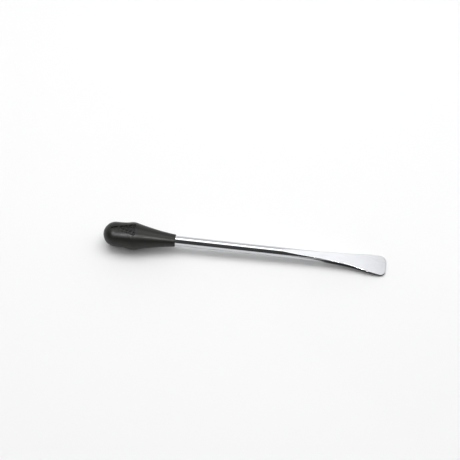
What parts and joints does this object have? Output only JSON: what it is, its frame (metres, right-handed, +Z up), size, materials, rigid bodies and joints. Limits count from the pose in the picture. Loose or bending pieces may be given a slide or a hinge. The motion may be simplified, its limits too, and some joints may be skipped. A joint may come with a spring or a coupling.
{
  "type": "tyre lever",
  "caption": "Tyre lever with a mirror-bright round shaft, a flat flared spoon blade and a black ergonomic grip with chequered panels.",
  "frame": {"origin": "bottom centre of the lever's bounding box, on the plane it rests on", "axes": "+X along the lever from handle to blade tip, +Z up with the blade's ground face up, +Y across the blade. The lever lies on its handle and the tip's lower edge, so the shaft points 1.4 degrees nose down"},
  "size_m": [0.3797, 0.0374, 0.0368],
  "materials": {
    "bar": "mirror-bright plated forging, ground flat face on the blade",
    "core": "hard moulded polymer, hidden under the sleeve",
    "sleeve": "semi-matt soft moulding with a fine grain",
    "panel": "matt, chequered with small pyramids"
  },
  "bodies": {
    "root": {"lever_bar": "bar", "handle_core": "core", "grip_sleeve": "sleeve", "grip_panel_top": "panel", "grip_panel_bottom": "panel"}
  },
  "joints": []
}
